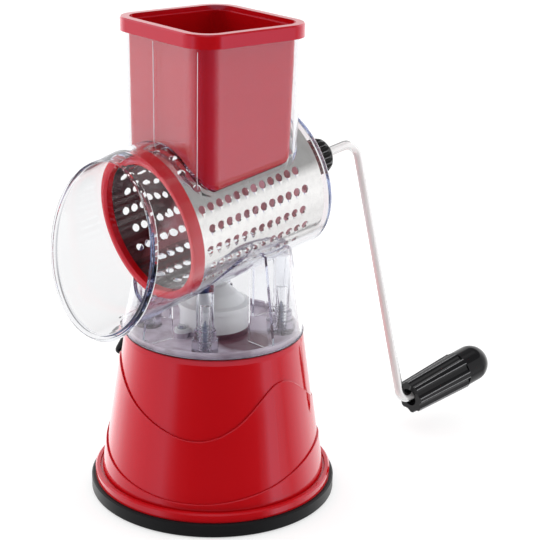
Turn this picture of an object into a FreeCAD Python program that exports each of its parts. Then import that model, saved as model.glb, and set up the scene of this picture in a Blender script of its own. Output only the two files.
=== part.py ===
"""Hand-cranked rotary drum shredder on a suction foot.

Frame: +Z up, origin at the centre of the foot, on the table.
The delivery mouth faces -Y, the crank is on the +Y side.
The drum axis lies in the YZ plane and rises towards the crank.
All lengths are in millimetres.
"""
import FreeCAD, Part
import math
import os

Vector = FreeCAD.Vector
os.makedirs("parts", exist_ok=True)

# ---------------------------------------------------------------- driving dimensions
# drum axis
TILT = 10.0               # rise of the drum axis towards the crank, degrees
AXIS_Z = 164.0            # height of the drum axis above the table at y = 0

# foot
CUP_R = 67.3              # rubber suction cup
CUP_H = 7.3
FLANGE_R = 65.2           # stepped lip at the bottom of the base shell
FLANGE_TOP = 12.1
GROOVE_Z = 11.0           # floor of the narrow groove between the lip and the cone
CONE_FOOT_R = 59.7        # smooth cone of the base shell, under its wave steps
CONE_TOP_R = 48.2
JOINT_Z = 92.1            # where the clear body sits on the base shell
SHELL_WALL = 2.4
WAVE_STEP = 0.8           # each wave line steps the surface out by this much
# wave lines round the cone: (angle from +X in degrees, height)
UPPER_WAVE = [(-150, 62), (-122, 76), (-95, 64), (-72, 54), (-47, 48.6), (-20, 59), (5, 75.4),
              (30, 63), (62, 50), (90, 60), (115, 73), (145, 62), (172, 50)]
LOWER_WAVE = [(-135, 31.5), (-90, 19.5), (-45, 15.2), (0, 22.5), (45, 31.5), (90, 22), (135, 15.2),
              (180, 22)]
DECK_TOP = 91.6
DECK_T = 2.4

# clear body
WALL = 2.0
HOUSING_FRONT_R = 42.3    # outside, at the mouth end; the bore drafts down to the rear wall
HOUSING_REAR_R = 41.2
HOUSING_FRONT = -46.0     # positions along the drum axis, 0 at y = 0
HOUSING_REAR = 47.4
REAR_WALL = 2.4
REAR_CORNER = 3.4         # outside radius of the housing's rear edge
BOSS_R = 8.2              # threaded boss behind the rear wall
BOSS_END = 66.0
MOUTH_Y = -73.2
MOUTH_Z = 149.4
MOUTH_LEAN = 10.5         # the mouth's plane leans back by this much, degrees
MOUTH_R = 42.9            # clear radius of the mouth
LIP_R = 46.0
LIP_T = 3.0
SKIRT_TOP = 143.5
SKIRT_TOP_R = 40.2
PILLAR_AT = 25.5          # screw pillars at (+-PILLAR_AT, +-PILLAR_AT)
PILLAR_R = 4.5
PILLAR_BORE = 2.1
PILLAR_FOOT = [(7.0, 0), (6.8, 7.2), (5.9, 7.8), (5.7, 12.4), (4.5, 13.2)]  # (radius, height) above the deck
BODY_SCREW_R = 2.0
HOPPER_Y = -3.1           # centre of the hopper
HOPPER_W = 74.7           # outside, along X at the top
HOPPER_L = 69.8           # outside, along Y at the top
HOPPER_CORNER = 12.9
HOPPER_TOP = 252.6
HOPPER_DRAFT = 1.4        # the hopper is this much narrower at the drum axis

# pusher
RIM_W = 78.2
RIM_L = 73.3
RIM_CORNER = 14.5
RIM_BOTTOM = 252.7
RIM_TOP = 259.8
PUSHER_W = 68.2
PUSHER_L = 63.4
PUSHER_CORNER = 9.6
PUSHER_DRAFT = 3.0
PUSHER_SADDLE_R = 39.0    # the hollow foot of the pusher follows the drum
PUSHER_WALL = 2.2

# drum
SLEEVE_R = 37.3
SLEEVE_T = 0.7
SLEEVE_REAR = 43.0
RING_R = 39.9
RING_FRONT = -45.6
RING_REAR = -38.6
HUB_WEB = 41.1            # front of the hub's web
HUB_REAR = 43.6
SOCKET_FLATS = 8.8

# drum teeth: each is a ramp that rises to a hole punched through the sleeve
TOOTH_ROWS = 22
TEETH_IN_ROW = 12
TOOTH_PITCH = 5.56        # along a row; every second row is half a pitch out of step
FIRST_ROW = -6.5          # direction of the first row round the drum axis, degrees
FIRST_TOOTH = -30.4       # its first hole, along the drum axis
HOLE_R = 2.15
HOLE_SIDES = 12
TOOTH_RISE = 0.95         # the ramp's crest stands this far proud of the sleeve
TOOTH_TAIL = 6.4          # length of the ramp round the sleeve

# crank
ROD_R = 2.9
KEY_FLATS = 8.4
JOURNAL_R = 4.95
COLLAR_R = 6.9
ARM_AT = 100.6            # position of the arm along the drum axis
ARM_LENGTH = 164.8
ARM_BEND = 9.0
CRANK_ANGLE = 6.4         # the arm rests this far from hanging plumb, degrees
GRIP_START = 107.75
GRIP_END = 149.5
CAP_END = 171.6
GRIP_NEAR_R = 10.15
GRIP_FAR_R = 11.7
CAP_R = 11.2
GRIP_FLUTES = 8
NUT_R = 10.2
NUT_RIBS = 18

# suction mechanism
PLINTH_R = 19.0           # round plinth of the deck, under the cam cover
PLINTH_TOP = 94.2
COVER_LIP_R = 19.5
COVER_TOP = 118.6
COVER_SCREW_Y = 21.8
EAR_TOP = 96.4
CHEEK_IN = 8.8            # the cover's two bearing cheeks lie between these distances from x = 0
CHEEK_OUT = 11.0
SHAFT_Z = 103.5
SHAFT_R = 3.2
SHAFT_OUT = -56.0
SHAFT_IN = 13.0
CAM_R = 6.8
CAM_THROW = 2.6
CAM_START = -55.0         # direction of the cam's throw at rest, from +Y towards +Z
CAM_W = 7.0
CAM_GAP = 0.25
YOKE_WALL = 2.2
PULL_ROD_R = 3.0
LEVER_ANGLE = 29.5        # the lever rests this far forward of hanging, degrees
LEVER_LENGTH = 45.0
LEVER_LEAN = 6.5          # the lever's tip stands this much further out than its hub

NO_MOVE = Vector(0, 0, 0)
X_AXIS = Vector(1, 0, 0)
Y_AXIS = Vector(0, 1, 0)
Z_AXIS = Vector(0, 0, 1)


# ---------------------------------------------------------------- helpers
def revolve(profile):
    """Solid of revolution about Z from (radius, height) points."""
    points = [Vector(r, 0, z) for r, z in profile]
    face = Part.Face(Part.makePolygon(points + points[:1]))
    return face.revolve(NO_MOVE, Z_AXIS, 360)


def disc(radius, z0, z1, x=0.0, y=0.0):
    return Part.makeCylinder(radius, z1 - z0, Vector(x, y, z0))


def tube(outer, inner, z0, z1, x=0.0, y=0.0):
    return disc(outer, z0, z1, x, y).cut(disc(inner, z0 - 1, z1 + 1, x, y))


def cone(r0, z0, r1, z1):
    return Part.makeCone(r0, r1, z1 - z0, Vector(0, 0, z0))


def box(x0, x1, y0, y1, z0, z1):
    return Part.makeBox(x1 - x0, y1 - y0, z1 - z0, Vector(x0, y0, z0))


def rounded_rectangle(width, length, corner, z, y=0.0):
    """Closed wire in a level plane, centred on (0, y)."""
    hx = width / 2
    hy = length / 2
    edges = []
    for sx, sy, turn in ((1, 1, 0), (-1, 1, 90), (-1, -1, 180), (1, -1, 270)):
        centre = Vector(sx * (hx - corner), y + sy * (hy - corner), z)
        arc = Part.Arc(Part.Circle(centre, Z_AXIS, corner), math.radians(turn), math.radians(turn + 90))
        edges.append(arc.toShape())
    sides = []
    for i, edge in enumerate(edges):
        after = edges[(i + 1) % 4]
        sides.append(edge)
        sides.append(Part.makeLine(edge.Vertexes[-1].Point, after.Vertexes[0].Point))
    return Part.Wire(sides)


def tapered_block(top, bottom):
    """Loft between two rounded rectangles given as (width, length, corner, z)."""
    wires = [rounded_rectangle(*bottom, y=HOPPER_Y), rounded_rectangle(*top, y=HOPPER_Y)]
    return Part.makeLoft(wires, True, True)


def on_axis(shape):
    """Move a shape built along Z (z = distance along the drum axis) onto the drum axis."""
    placed = shape.copy()
    turn = FreeCAD.Rotation(X_AXIS, TILT - 90)
    placed.Placement = FreeCAD.Placement(Vector(0, 0, AXIS_Z), turn).multiply(placed.Placement)
    return placed


def circle_wire(radius, centre, normal):
    return Part.Wire([Part.Circle(centre, normal, radius).toShape()])


def hexagon(flats, z0, z1):
    corner = flats / math.sqrt(3)
    points = []
    for i in range(7):
        angle = math.radians(60 * i)
        points.append(Vector(corner * math.cos(angle), corner * math.sin(angle), z0))
    return Part.Face(Part.makePolygon(points)).extrude(Vector(0, 0, z1 - z0))


def polar(radius, angle):
    return radius * math.cos(math.radians(angle)), radius * math.sin(math.radians(angle))


def four_corners(offset):
    return [(sx * offset, sy * offset) for sx in (-1, 1) for sy in (-1, 1)]


def cone_radius(z):
    """Radius of the base shell's smooth cone at height z."""
    return CONE_TOP_R + (CONE_FOOT_R - CONE_TOP_R) * (JOINT_Z - z) / (JOINT_Z - FLANGE_TOP)


def skirt_radius(z):
    return CONE_TOP_R + (SKIRT_TOP_R - CONE_TOP_R) * (z - JOINT_Z) / (SKIRT_TOP - JOINT_Z)


def housing_radius(s):
    span = HOUSING_REAR - HOUSING_FRONT
    return HOUSING_FRONT_R + (HOUSING_REAR_R - HOUSING_FRONT_R) * (s - HOUSING_FRONT) / span


def housing_solid(offset, s0, s1, corner=0.0):
    """The housing's outside surface, offset inwards, as a solid cone on the drum axis."""
    barrel = cone(housing_radius(s0) - offset, s0, housing_radius(s1) - offset, s1)
    if corner > 0:
        rear_edge = max(barrel.Edges, key=lambda edge: edge.BoundBox.ZMin)
        barrel = barrel.makeFillet(corner, [rear_edge])
    return on_axis(barrel)


def axis_height(y):
    return AXIS_Z + y * math.tan(math.radians(TILT))


def pan_head_screw(x, y, head_z, length, radius, head_radius):
    """Screw pointing up, its head's underside at head_z."""
    head = cone(head_radius * 0.7, head_z - 1.8, head_radius, head_z - 0.6)
    head = head.fuse(disc(head_radius, head_z - 0.6, head_z))
    shank = disc(radius, head_z, head_z + length - 3.0)
    tip = cone(radius, head_z + length - 3.0, 0.3, head_z + length)
    screw = head.fuse(shank).fuse(tip).removeSplitter()
    screw.translate(Vector(x, y, 0))
    return screw


# ---------------------------------------------------------------- foot
CLAMP_BOSS_RADIUS = 50.0
CLAMP_BOSS_ANGLES = (0, 90, 180, 270)
CLAMP_TOP = 9.0


def suction_cup():
    return revolve([(0, 1.2), (58.5, 1.0), (62.5, 0), (67.0, 0), (CUP_R, 0.3), (CUP_R, 6.6),
                    (66.6, CUP_H), (60.5, CUP_H), (59.6, 5.6), (58.6, 3.2), (0, 3.2)])


def wavy_prism(wave, bottom):
    """Solid from a level floor up to a surface whose height follows a wave line."""
    rims = []
    for radius in (30.0, 75.0):
        points = []
        for angle, height in wave:
            x, y = polar(radius, angle)
            points.append(Vector(x, y, height))
        curve = Part.BSplineCurve()
        curve.interpolate(points, PeriodicFlag=True)
        rims.append(Part.Wire([curve.toShape()]))
    top = Part.makeRuledSurface(rims[0], rims[1])
    depth = max(height for _, height in wave) - bottom
    block = top.extrude(Vector(0, 0, -depth - 20))
    if block.ShapeType != "Solid":
        block = block.Solids[0]
    return block.common(disc(74.0, bottom, bottom + 100))


def wave_band(wave, step):
    """Thin skin that stands `step` proud of the cone, up to the wave line."""
    z0 = GROOVE_Z - 0.3
    z1 = 84.0
    outer = cone(cone_radius(z0) + step, z0, cone_radius(z1) + step, z1)
    inner = cone(cone_radius(z0) - 1.2, z0 - 1, cone_radius(z1) - 1.2, z1 + 1)
    return outer.cut(inner).common(wavy_prism(wave, z0))


def base_shell():
    inside = SHELL_WALL
    under = DECK_TOP - DECK_T
    shell = revolve([
        (FLANGE_R, CUP_H), (FLANGE_R, FLANGE_TOP - 0.8), (FLANGE_R - 0.8, FLANGE_TOP),
        (FLANGE_R - 2.6, FLANGE_TOP), (FLANGE_R - 3.0, GROOVE_Z), (cone_radius(GROOVE_Z), GROOVE_Z),
        (cone_radius(88.6), 88.6), (CONE_TOP_R - 0.2, 91.0), (CONE_TOP_R - 0.9, 91.4),
        (CONE_TOP_R - 1.2, 91.4), (CONE_TOP_R - 1.2, JOINT_Z), (CONE_TOP_R - 2.4, JOINT_Z),
        (CONE_TOP_R - 2.4, 94.4), (CONE_TOP_R - 4.4, 94.4), (CONE_TOP_R - 4.4, DECK_TOP),
        (PLINTH_R, DECK_TOP), (PLINTH_R, PLINTH_TOP), (13.5, PLINTH_TOP), (13.5, DECK_TOP),
        (6.5, DECK_TOP), (6.5, under),
        (cone_radius(under) - inside, under), (cone_radius(14) - inside, 14), (57.0, 9.2), (60.8, 9.2),
        (60.8, CUP_H)])
    envelope = cone(cone_radius(9) - 0.6, 9, cone_radius(80) - 0.6, 80)
    for angle in CLAMP_BOSS_ANGLES:
        x, y = polar(CLAMP_BOSS_RADIUS, angle)
        post = disc(4.2, CLAMP_TOP, 48.0, x, y).common(envelope)
        shell = shell.fuse(post).cut(disc(1.6, CLAMP_TOP - 1, 24.0, x, y))
    shell = shell.fuse(wave_band(UPPER_WAVE, WAVE_STEP))
    shell = shell.fuse(wave_band(LOWER_WAVE, 2 * WAVE_STEP))
    for x, y in four_corners(PILLAR_AT):
        shell = shell.cut(disc(BODY_SCREW_R + 0.2, under - 1, DECK_TOP + 1, x, y))
    for y in (-COVER_SCREW_Y, COVER_SCREW_Y):
        shell = shell.fuse(disc(3.8, under - 5, PLINTH_TOP, 0, y))
        shell = shell.cut(disc(1.3, under - 3.5, PLINTH_TOP + 1, 0, y))
    return shell


def guide_plate():
    """Holds the cup's rim up against the shell and guides the pull rod."""
    plate = revolve([
        (59.5, 6.0), (60.2, 7.5), (60.2, CLAMP_TOP), (30.0, CLAMP_TOP), (14.5, 26.0), (9.0, 26.0), (9.0, 34.0),
        (PULL_ROD_R + 0.06, 34.0), (PULL_ROD_R + 0.06, 23.6), (13.2, 23.6), (28.9, 6.0)])
    plate = plate.fuse(tube(58.2, 55.6, 3.4, 6.5))
    for angle in CLAMP_BOSS_ANGLES:
        x, y = polar(CLAMP_BOSS_RADIUS, angle)
        plate = plate.cut(disc(1.9, 5, 10, x, y))
        rib = box(10, 27, -0.9, 0.9, 9, 30)
        rib.rotate(NO_MOVE, Z_AXIS, angle + 45)
        rib = rib.cut(disc(8.5, 0, 40)).cut(cone(28.9, 6.0, 13.2, 23.6))
        plate = plate.fuse(rib.common(cone(33.0, 6, 11.2, 31)))
    return plate


def clamp_screws():
    screws = []
    for angle in CLAMP_BOSS_ANGLES:
        x, y = polar(CLAMP_BOSS_RADIUS, angle)
        screws.append(pan_head_screw(x, y, 6.0, 14.0, 1.6, 2.9))
    return Part.makeCompound(screws)


# ---------------------------------------------------------------- suction mechanism
def cam_cover():
    """Turned cap over the eccentric; two cheeks inside it carry the lever shaft."""
    wall = 1.5
    body_r = PLINTH_R - 0.4
    dome = [(COVER_LIP_R, 107.5), (16.4, 108.4), (12.0, 113.0), (7.0, 116.9), (0, COVER_TOP)]
    cap = revolve([(0, PLINTH_TOP), (body_r, PLINTH_TOP), (body_r, 104.5), (COVER_LIP_R, 104.9)] + dome)
    for y in (-COVER_SCREW_Y, COVER_SCREW_Y):
        ear = disc(3.8, PLINTH_TOP, EAR_TOP, 0, y)
        bridge = box(-3.8, 3.8, min(0, y), max(0, y), PLINTH_TOP, EAR_TOP)
        cap = cap.fuse(ear.fuse(bridge))
    hollow = revolve([(0, PLINTH_TOP - 1), (body_r - wall, PLINTH_TOP - 1), (body_r - wall, 104.0),
                      (15.2, 107.4), (11.2, 111.8), (6.2, 115.5), (0, COVER_TOP - wall)])
    for side in (-1, 1):
        x0, x1 = sorted((side * CHEEK_IN, side * CHEEK_OUT))
        hollow = hollow.cut(box(x0, x1, -9.0, 9.0, PLINTH_TOP, COVER_TOP))
    cap = cap.cut(hollow).cut(cylinder_x(SHAFT_R + 0.05, -25, SHAFT_IN, 0, SHAFT_Z))
    for y in (-COVER_SCREW_Y, COVER_SCREW_Y):
        cap = cap.cut(disc(1.5, PLINTH_TOP - 1, EAR_TOP + 1, 0, y))
    return cap.removeSplitter()


def cover_screws():
    screws = []
    for y in (-COVER_SCREW_Y, COVER_SCREW_Y):
        screw = pan_head_screw(0, 0, 0, 6.0, 1.3, 2.5)
        screw.rotate(NO_MOVE, X_AXIS, 180)
        screw.translate(Vector(0, y, EAR_TOP))
        screws.append(screw)
    return Part.makeCompound(screws)


def cam_centre():
    dy, dz = polar(CAM_THROW, CAM_START)
    return Vector(0, dy, SHAFT_Z + dz)


def cylinder_x(radius, x0, x1, y, z):
    return Part.makeCylinder(radius, x1 - x0, Vector(x0, y, z), X_AXIS)


def lift_cam():
    centre = cam_centre()
    cam = cylinder_x(CAM_R, -CAM_W / 2, CAM_W / 2, centre.y, centre.z)
    sleeve = cylinder_x(SHAFT_R + 1.4, -8.2, 8.2, 0, SHAFT_Z)
    return cam.fuse(sleeve).cut(cylinder_x(SHAFT_R, -20, 20, 0, SHAFT_Z)).removeSplitter()


def slot_x(radius, half_span, half_width, z):
    """Stadium-shaped block across X, its long side along Y."""
    block = box(-half_width, half_width, -half_span, half_span, z - radius, z + radius)
    for y in (-half_span, half_span):
        block = block.fuse(cylinder_x(radius, -half_width, half_width, y, z))
    return block


def lift_yoke():
    z = cam_centre().z
    window = CAM_R + CAM_GAP
    yoke = slot_x(window + YOKE_WALL, CAM_THROW + 0.1, CAM_W / 2 - 0.3, z)
    neck = disc(4.6, z - window - YOKE_WALL - 0.4, z - window - 0.3)
    yoke = yoke.fuse(neck).cut(slot_x(window, CAM_THROW + 0.1, CAM_W, z))
    return yoke.cut(disc(PULL_ROD_R, 80, z - window - 0.9)).removeSplitter()


def pull_rod():
    top = cam_centre().z - CAM_R - CAM_GAP - 0.9
    rod = disc(PULL_ROD_R, 4.2, top)
    return rod.cut(tube(5, PULL_ROD_R - 0.4, 60, 62)).removeSplitter()


def cup_plate():
    plate = revolve([(PULL_ROD_R, 3.6), (19.0, 3.6), (20.0, 4.4), (20.0, 5.4), (7.0, 6.2), (6.2, 10.0),
                     (PULL_ROD_R, 10.0)])
    return plate


def return_spring():
    bottom = 6.95
    top = 22.75
    turns = 4.5
    radius = 8.6
    wire = 0.8
    coil = Part.makeHelix((top - bottom) / turns, top - bottom, radius)
    section = Part.Wire([Part.Circle(Vector(radius, 0, 0), Y_AXIS, wire).toShape()])
    spring = Part.Wire(coil).makePipeShell([section], True, True)
    spring.translate(Vector(0, 0, bottom))
    return spring


def lever_shaft():
    shaft = cylinder_x(SHAFT_R, SHAFT_OUT, SHAFT_IN, 0, SHAFT_Z)
    groove = cylinder_x(SHAFT_R + 2, 11.6, 12.4, 0, SHAFT_Z)
    return shaft.cut(groove.cut(cylinder_x(SHAFT_R - 0.7, 11, 13, 0, SHAFT_Z)))


def shaft_clip():
    ring = cylinder_x(SHAFT_R + 2.2, 11.6, 12.3, 0, SHAFT_Z)
    return ring.cut(cylinder_x(SHAFT_R - 0.7, 11, 13, 0, SHAFT_Z)).cut(
        box(11, 13, -1.6, 1.6, SHAFT_Z, SHAFT_Z + 8))


def lever_direction():
    """Unit vector down the lever, from its hub to its tip."""
    drop = LEVER_LENGTH * math.cos(math.radians(LEVER_ANGLE))
    forward = LEVER_LENGTH * math.sin(math.radians(LEVER_ANGLE))
    return Vector(-LEVER_LEAN, -forward, -drop).normalize()


def suction_lever():
    hub = cylinder_x(5.6, -56.0, -49.2, 0, SHAFT_Z).cut(cylinder_x(SHAFT_R, -60, -40, 0, SHAFT_Z))
    start = Vector(-52.6, 0, SHAFT_Z)
    arm = Part.makeCylinder(2.3, LEVER_LENGTH - 2, start, lever_direction())
    arm = arm.cut(cylinder_x(SHAFT_R, -60, -40, 0, SHAFT_Z))
    return hub.fuse(arm).removeSplitter()


def lever_tip():
    along = lever_direction()
    start = Vector(-52.6, 0, SHAFT_Z)
    grip_from = 29.0
    grip_to = LEVER_LENGTH
    radius = 3.8
    tip = Part.makeCone(3.0, radius, 3.0, start + along * grip_from, along)
    tip = tip.fuse(Part.makeCylinder(radius, grip_to - grip_from - 3, start + along * (grip_from + 3), along))
    tip = tip.fuse(Part.makeSphere(radius, start + along * grip_to))
    return tip.cut(Part.makeCylinder(2.3, LEVER_LENGTH - 2, start, along)).removeSplitter()


# ---------------------------------------------------------------- clear body
def mouth_normal():
    """Out of the mouth."""
    lean = math.radians(MOUTH_LEAN)
    return Vector(0, -math.cos(lean), math.sin(lean))


def flare(front_radius, mouth_radius, past):
    """Solid between the housing's front circle and the mouth, ending `past` beyond the mouth."""
    out = mouth_normal()
    tilt = math.radians(TILT)
    along = Vector(0, math.cos(tilt), math.sin(tilt))
    start = Vector(0, 0, AXIS_Z) + along * HOUSING_FRONT
    end = Vector(0, MOUTH_Y, MOUTH_Z)
    middle = (start * 0.45 + end * 0.55)
    between = (along * -0.45 + out * 0.55).normalize()
    mid_radius = front_radius * 0.7 + mouth_radius * 0.3
    wires = [circle_wire(front_radius, start, along * -1),
             circle_wire(mid_radius, middle, between),
             circle_wire(mouth_radius, end, out)]
    body = Part.makeLoft(wires, True, False)
    if past > 0:
        body = body.fuse(Part.makeCylinder(mouth_radius, past, end, out))
    return body


def mouth_lip():
    """Rolled lip round the mouth: a half-round bead that stands out from the flare."""
    inner = MOUTH_R
    profile = [(inner, 0), (inner + 1.2, 0.0), (LIP_R - 0.6, -0.9), (LIP_R, -2.0), (LIP_R - 0.7, -LIP_T),
               (inner + 0.4, -LIP_T - 0.6), (inner, -LIP_T - 0.6)]
    lip = revolve([(r, z) for r, z in profile])
    turn = FreeCAD.Rotation(X_AXIS, 90 - MOUTH_LEAN)
    lip.Placement = FreeCAD.Placement(Vector(0, MOUTH_Y, MOUTH_Z), turn)
    return lip


def hopper_bore():
    """The space inside the hopper's four walls, from the drum axis up."""
    inner_w = HOPPER_W - 2 * WALL
    inner_l = HOPPER_L - 2 * WALL
    corner = HOPPER_CORNER - WALL
    low = (inner_w - HOPPER_DRAFT, inner_l - HOPPER_DRAFT, corner, AXIS_Z)
    return tapered_block((inner_w, inner_l, corner, HOPPER_TOP + 0.001), low)


def screw_pillar(x, y, top):
    """Stepped pillar that stands on the deck and takes a body screw from below."""
    foot = revolve([(0, DECK_TOP)] + [(r, DECK_TOP + h) for r, h in PILLAR_FOOT] + [(0, DECK_TOP + 13.2)])
    foot.translate(Vector(x, y, 0))
    pillar = foot.fuse(disc(PILLAR_R, DECK_TOP + 5, top, x, y)).removeSplitter()
    return pillar.cut(disc(PILLAR_BORE, DECK_TOP - 1, DECK_TOP + 26, x, y))


def drum_housing():
    """Clear barrel, its flared mouth and threaded boss, and the two front pillars under it."""
    front_in = housing_radius(HOUSING_FRONT) - WALL
    body = housing_solid(0, HOUSING_FRONT, HOUSING_REAR, REAR_CORNER)
    body = body.fuse(flare(HOUSING_FRONT_R, MOUTH_R + WALL - 0.3, 0)).fuse(mouth_lip())
    body = body.fuse(on_axis(disc(BOSS_R, HOUSING_REAR - 1, BOSS_END)))
    for x in (-PILLAR_AT, PILLAR_AT):
        body = body.fuse(screw_pillar(x, -PILLAR_AT, SKIRT_TOP - WALL))
    inner_rear = HOUSING_REAR - REAR_WALL
    body = body.cut(housing_solid(WALL, HOUSING_FRONT, inner_rear, REAR_CORNER - WALL))
    body = body.cut(flare(front_in, MOUTH_R, 10))
    body = body.cut(on_axis(disc(6.4, inner_rear - 1, BOSS_END + 1)))
    body = body.cut(on_axis(disc(RING_R + 0.35, -110, HOUSING_FRONT + 5)))
    return body.cut(hopper_bore())


def hopper():
    top = (HOPPER_W, HOPPER_L, HOPPER_CORNER, HOPPER_TOP)
    low = (HOPPER_W - HOPPER_DRAFT, HOPPER_L - HOPPER_DRAFT, HOPPER_CORNER, AXIS_Z)
    block = tapered_block(top, low).cut(hopper_bore())
    return block.cut(housing_solid(0, HOUSING_FRONT - 5, HOUSING_REAR + 5))


def clear_skirt():
    """Tapered stand under the drum housing, with the two rear screw pillars and stiffening ribs."""
    roof = SKIRT_TOP - WALL
    outer = cone(skirt_radius(JOINT_Z), JOINT_Z, SKIRT_TOP_R, SKIRT_TOP)
    inner = cone(skirt_radius(JOINT_Z) - WALL, JOINT_Z, skirt_radius(roof) - WALL, roof)
    skirt = outer.cut(inner)
    for x in (-PILLAR_AT, PILLAR_AT):
        skirt = skirt.fuse(screw_pillar(x, PILLAR_AT, roof + 0.5))
    for angle in (4, 90, 176 + 28, 270):
        rib = box(28.0, 47.4, -0.8, 0.8, DECK_TOP + 0.4, roof + 0.5)
        rib.rotate(NO_MOVE, Z_AXIS, angle)
        skirt = skirt.fuse(rib.cut(tube(CONE_TOP_R + 1, CONE_TOP_R - 4.6, DECK_TOP, 94.7)).common(outer))
    skirt = skirt.cut(cylinder_x(SHAFT_R + 0.6, -60, -30, 0, SHAFT_Z))
    skirt = skirt.cut(housing_solid(0, HOUSING_FRONT, HOUSING_REAR))
    skirt = skirt.cut(flare(HOUSING_FRONT_R, MOUTH_R + WALL - 0.3, 0))
    lower = [solid for solid in skirt.Solids if solid.BoundBox.ZMin < DECK_TOP + 5]
    return lower[0]


def body_screws():
    screws = []
    for x, y in four_corners(PILLAR_AT):
        screws.append(pan_head_screw(x, y, DECK_TOP - DECK_T, 20.2, BODY_SCREW_R, 3.6))
    return Part.makeCompound(screws)


def rear_bush():
    bush = tube(6.4, JOURNAL_R + 0.05, HOUSING_REAR - REAR_WALL - 0.6, BOSS_END)
    flange = tube(8.0, JOURNAL_R + 0.05, HOUSING_REAR - REAR_WALL - 0.9, HOUSING_REAR - REAR_WALL)
    return on_axis(bush.fuse(flange).removeSplitter())


# ---------------------------------------------------------------- pusher
def drum_cylinder(radius):
    return on_axis(disc(radius, -80, 80))


def food_pusher():
    low_z = AXIS_Z
    outer = tapered_block((PUSHER_W, PUSHER_L, PUSHER_CORNER, RIM_BOTTOM + 0.5),
                          (PUSHER_W - PUSHER_DRAFT, PUSHER_L - PUSHER_DRAFT, PUSHER_CORNER, low_z))
    outer = outer.cut(drum_cylinder(PUSHER_SADDLE_R))
    outer = outer.cut(box(-60, 60, -60, 60, low_z - 5, AXIS_Z + 14))
    in_w = PUSHER_W - 2 * PUSHER_WALL
    in_l = PUSHER_L - 2 * PUSHER_WALL
    in_corner = PUSHER_CORNER - PUSHER_WALL
    cavity = tapered_block((in_w, in_l, in_corner, RIM_TOP + 1),
                           (in_w - PUSHER_DRAFT, in_l - PUSHER_DRAFT, in_corner, low_z))
    cavity = cavity.cut(drum_cylinder(PUSHER_SADDLE_R + PUSHER_WALL))
    cavity = cavity.cut(box(-60, 60, -60, 60, low_z - 5, AXIS_Z + 14 + PUSHER_WALL))
    rim_low = (RIM_W, RIM_L, RIM_CORNER, RIM_BOTTOM)
    rim_mid = (RIM_W, RIM_L, RIM_CORNER, RIM_TOP - 0.8)
    rim_top = (RIM_W - 1.2, RIM_L - 1.2, RIM_CORNER - 0.6, RIM_TOP)
    rim = tapered_block(rim_mid, rim_low).fuse(tapered_block(rim_top, rim_mid))
    recess = tapered_block((RIM_W - 9.0, RIM_L - 9.0, RIM_CORNER - 4.0, RIM_TOP + 1),
                           (RIM_W - 9.6, RIM_L - 9.6, RIM_CORNER - 4.2, RIM_TOP - 2.4))
    return outer.fuse(rim).cut(cavity).cut(recess).removeSplitter()


# ---------------------------------------------------------------- drum
def on_sleeve(rise, angle, along):
    """Point `rise` outside the sleeve's surface."""
    x, y = polar(SLEEVE_R + rise, angle)
    return Vector(x, y, along)


def ramp(angle, along, tail, widths, rises):
    """Wedge on the sleeve, from a point at its tail to an upright face across the hole.

    widths: half widths of the upright face, at its foot and its top.
    rises: of the tail, the foot and the top, outwards from the sleeve's surface.
    """
    foot, top = widths
    point = on_sleeve(rises[0], angle + math.degrees(tail / SLEEVE_R), along)
    corners = [on_sleeve(rises[1], angle, along - foot), on_sleeve(rises[1], angle, along + foot),
               on_sleeve(rises[2], angle, along + top), on_sleeve(rises[2], angle, along - top)]
    faces = [Part.Face(Part.makePolygon(corners + corners[:1]))]
    for i, corner in enumerate(corners):
        faces.append(Part.Face(Part.makePolygon([point, corner, corners[(i + 1) % 4], point])))
    wedge = Part.Solid(Part.Shell(faces))
    if wedge.Volume < 0:
        wedge.reverse()
    return wedge


def hole_punch(angle, along):
    """Many-sided prism through the sleeve's wall."""
    outward = Vector(*polar(1, angle), 0)
    around = Vector(-outward.y, outward.x, 0)
    corners = []
    for i in range(HOLE_SIDES):
        across, up = polar(HOLE_R, (i + 0.5) * 360 / HOLE_SIDES)
        corners.append(on_sleeve(-4, angle, along) + around * across + Z_AXIS * up)
    return Part.Face(Part.makePolygon(corners + corners[:1])).extrude(outward * 8)


def plain_strip(start, span):
    """Strip of the sleeve before its teeth are punched, `span` degrees wide."""
    front = RING_FRONT + 3.2
    strip = Part.makeCylinder(SLEEVE_R, SLEEVE_REAR - front, Vector(0, 0, front), Z_AXIS, span)
    strip.rotate(NO_MOVE, Z_AXIS, start)
    return strip.cut(disc(SLEEVE_R - SLEEVE_T, front - 1, SLEEVE_REAR + 1))


def drum_sleeve():
    """Rolled steel sleeve with punched teeth: two rows are made, then turned round the drum."""
    step = 360 / TOOTH_ROWS
    ramps = []
    cuts = []
    for row in (0, 1):
        angle = FIRST_ROW + row * step
        for i in range(TEETH_IN_ROW):
            along = FIRST_TOOTH + TOOTH_PITCH * (i - row / 2)
            ramps.append(ramp(angle, along, TOOTH_TAIL, (2.3, 1.25), (-0.35, -0.35, TOOTH_RISE)))
            cuts.append(ramp(angle, along, TOOTH_TAIL - 1.4, (1.75, 0.8), (-1.2, -1.6, TOOTH_RISE - 0.55)))
            cuts.append(hole_punch(angle, along))
    pair = plain_strip(FIRST_ROW - 5.0, 2 * step).fuse(ramps).cut(cuts)
    pairs = []
    for i in range(TOOTH_ROWS // 2):
        turned = pair.copy()
        turned.rotate(NO_MOVE, Z_AXIS, i * 2 * step)
        pairs.append(turned)
    return on_axis(pairs[0].fuse(pairs[1:]).Solids[0])


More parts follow.
